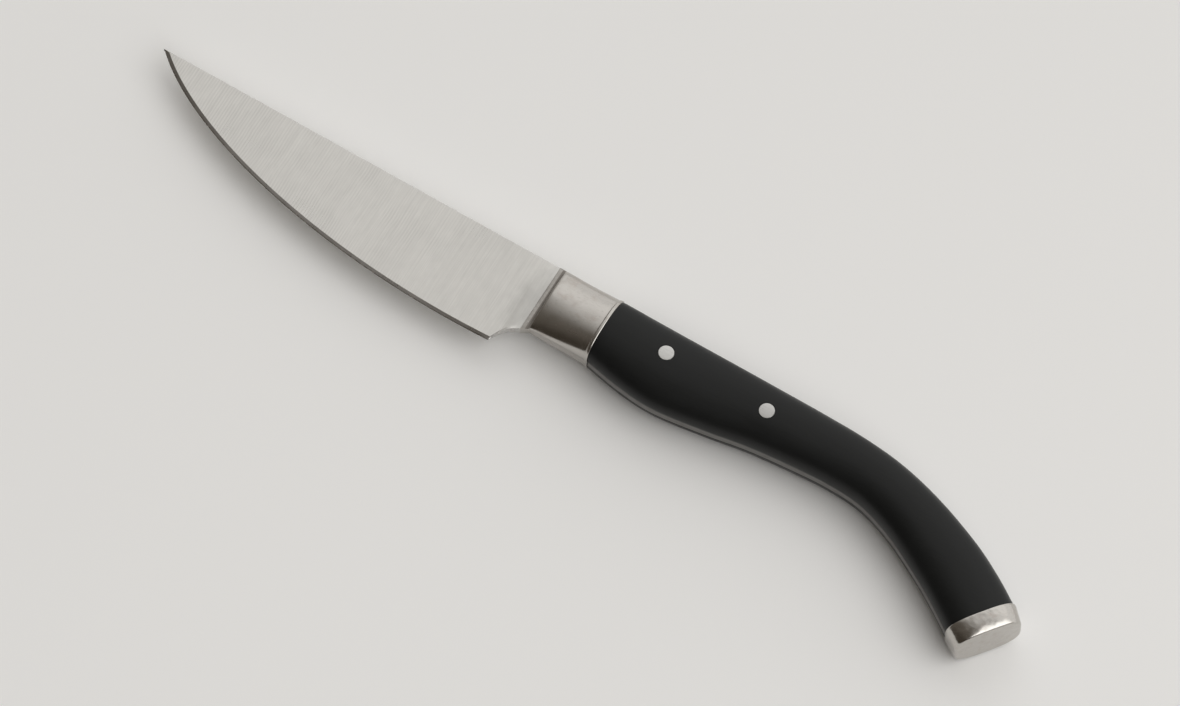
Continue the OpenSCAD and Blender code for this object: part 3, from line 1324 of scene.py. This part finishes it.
@dataclass(frozen=True)
class Studio:
    """The pale table, the soft light and the camera at the photograph's angle."""

    bench: Workbench
    table: Finish = PaleTable("table_pale", colour=(0.90, 0.895, 0.885), roughness=0.8)
    table_size: float = 8.0
    view: Stand = Stand(azimuth=31.25, elevation=67.0, distance=2.1986)
    looked_at: Triple = (119.12, -13.61, 0.0)
    focal_pixels: float = 10000.0
    photo_width: int = 1180
    # The surroundings go from near over dim to the bright side, which is less bright on the left
    bright_side: Triple = (0.0, 1.0, 0.0)
    sky_near: Colour = (0.062, 0.051, 0.04)
    near_range: Pair = (-0.8, -0.1)
    sky_dim: Colour = (0.145, 0.129, 0.11)
    sky_range: Pair = (-0.14, 0.55)
    sky_bright: Colour = (0.94, 0.93, 0.912)
    left_range: Pair = (-0.9, -0.52)
    sky_left: Colour = (0.3, 0.285, 0.265)
    # The glow around the last lamp
    halo: Colour = (1.2, 1.19, 1.165)
    halo_range: Pair = (0.74, 0.97)
    lamps: Sequence[Softbox] = (
        Softbox(
            azimuth=197.0, elevation=48.0, distance=1.3,
            name="key_softbox", width=1.7, height=0.8, brightness=0.15, colour=(1.0, 0.985, 0.96),
        ),
        Softbox(
            azimuth=84.0, elevation=50.0, distance=1.7,
            name="side_softbox", width=2.2, height=1.8, brightness=0.95,
        ),
    )

    @property
    def target(self) -> Vector:
        """The point that the camera and the lamps face, in metres in the frame."""
        return self.bench.put(Vector(self.looked_at))

    def lay_table(self) -> None:
        """Makes the table under the knife."""
        half = self.table_size / 2
        mesh = bpy.data.meshes.new("table")
        corners = [(-half, -half, 0.0), (half, -half, 0.0), (half, half, 0.0), (-half, half, 0.0)]
        mesh.from_pydata(corners, [], [(0, 1, 2, 3)])
        mesh.materials.append(self.table.material())
        table = show("table", mesh)

    def light(self) -> None:
        """Makes the lamps and the soft surroundings, which are brightest on the far side of the knife."""
        for lamp in self.lamps:
            lamp.hang(self.target)
        world = bpy.data.worlds.new("studio")
        bpy.context.scene.world = world
        world.use_nodes = True
        recipe = Recipe(world.node_tree)
        out = recipe.node("ShaderNodeTexCoord", {}, {}, "Generated")
        facing = recipe.vectors("DOT_PRODUCT", out, self.bright_side, "Value")
        beside = recipe.vectors("DOT_PRODUCT", out, tuple(self.lamps[-1].direction), "Value")
        left = recipe.levels(recipe.along(out), self.left_range, (1.0, 0.0))
        dim = recipe.blend(recipe.levels(facing, self.near_range), self.sky_near, self.sky_dim)
        bright = recipe.blend(left, self.sky_bright, self.sky_left)
        sky = recipe.blend(recipe.levels(facing, self.sky_range), dim, bright)
        colour = recipe.blend(recipe.levels(beside, self.halo_range), sky, self.halo)
        glow = recipe.node("ShaderNodeBackground", {}, {"Color": colour})
        recipe.add("ShaderNodeOutputWorld", {}, {"Surface": glow})

    def set_camera(self) -> None:
        """Puts the camera where the photograph was taken from."""
        lens = bpy.data.cameras.new("camera")
        lens.lens = self.focal_pixels * lens.sensor_width / self.photo_width
        bpy.context.scene.camera = self.view.hold("camera", lens, self.target)

    def build(self) -> None:
        """Makes the whole studio."""
        self.lay_table()
        self.light()
        self.set_camera()
        bpy.context.scene.view_settings.view_transform = "Standard"
        log.info("studio: %d lamps", len(self.lamps))


def main() -> None:
    """Builds the knife and its studio."""
    logging.basicConfig(level=logging.INFO, format="%(name)s: %(message)s")
    bench = Workbench.at_tip()
    grip = Grip.from_frame(bench)
    polished = WornSteel("steel_polished", colour=(0.51, 0.49, 0.462), roughness=0.17)
    # Brazed, rougher steel for the bolster's toe, with its colour painted darker as shade
    brazed_and_shaded = WornSteel(
        "steel_brazed_shaded", colour=(0.41, 0.392, 0.368), roughness=0.26,
        wave=(0.9, 0.7, 0.7), bloom=(0.5, 0.9, 0.9), wave_depth=0.022, stain_tone=(0.75, 0.7, 0.66),
    )
    # Painted shade in the root of the toe's hollow: dark, rough steel
    shaded_root = WornSteel(
        "steel_root_shade", colour=(0.255, 0.235, 0.216), roughness=0.42,
        bloom=(0.6, 1.2, 1.2), wave_depth=0.004,
    )
    bolster = Bolster.from_frame(bench, grip, (polished, brazed_and_shaded, shaded_root))
    # The place just behind the bolster's toe, around which the blade's lines are rubbed away and its colour
    # is painted darker as shade
    behind_toe, below_spine = 2.0, 11.0
    rubbed_and_shaded_place = bench.put(Vector((bolster.toe_start + behind_toe, -below_spine, 0)))
    blade = Blade(
        bench,
        grip,
        bolster,
        face_finish=GroundSteel(
            "steel_ground", colour=(0.775, 0.765, 0.737), roughness=0.3, rubbed_and_shaded_place=tuple(rubbed_and_shaded_place)
        ),
        spine_finish=WornSteel("steel_spine", colour=(0.66, 0.65, 0.63), roughness=0.24, wave_depth=0.002),
        bevel_finish=WornSteel(
            "steel_bevel", colour=(0.5, 0.49, 0.475), roughness=0.26,
            line=(0.05, 2.0, 2.0), wave_depth=0.001,
        ),
        edge_finish=WornSteel("steel_edge", colour=(0.6, 0.59, 0.575), roughness=0.2, wave_depth=0.001),
        # The tang's edges between the scales are painted dark, as the shade that they lie in
        tang_finish=WornSteel("steel_tang_shaded", colour=(0.2, 0.194, 0.185), roughness=0.34, wave_depth=0.003),
    )
    mottled = WornSteel(
        "steel_pin", colour=(0.565, 0.56, 0.547), roughness=0.3,
        line=(0.12, 0.12, 0.12), wave=(0.6, 0.6, 0.6), bloom=(0.35, 0.35, 0.35),
        wave_depth=0.002, line_depth=0.0008, stain_tone=(0.86, 0.86, 0.85),
    )
    pins = Pins(bench, grip, mottled)
    black = MouldedBlack("plastic_black", colour=(0.008, 0.0085, 0.0085), roughness=0.4)
    buffed = WornSteel(
        "steel_cap", colour=(0.55, 0.529, 0.499), roughness=0.15,
        wave=(1.5, 1.2, 1.2), bloom=(1.6, 1.6, 1.6), wave_depth=0.06,
    )
    Studio(bench).build()
    blade.build()
    bolster.build()
    Scales(bench, grip, black, pins).build()
    pins.build()
    ButtCap(bench, grip, buffed).build()


if __name__ == "__main__":
    main()
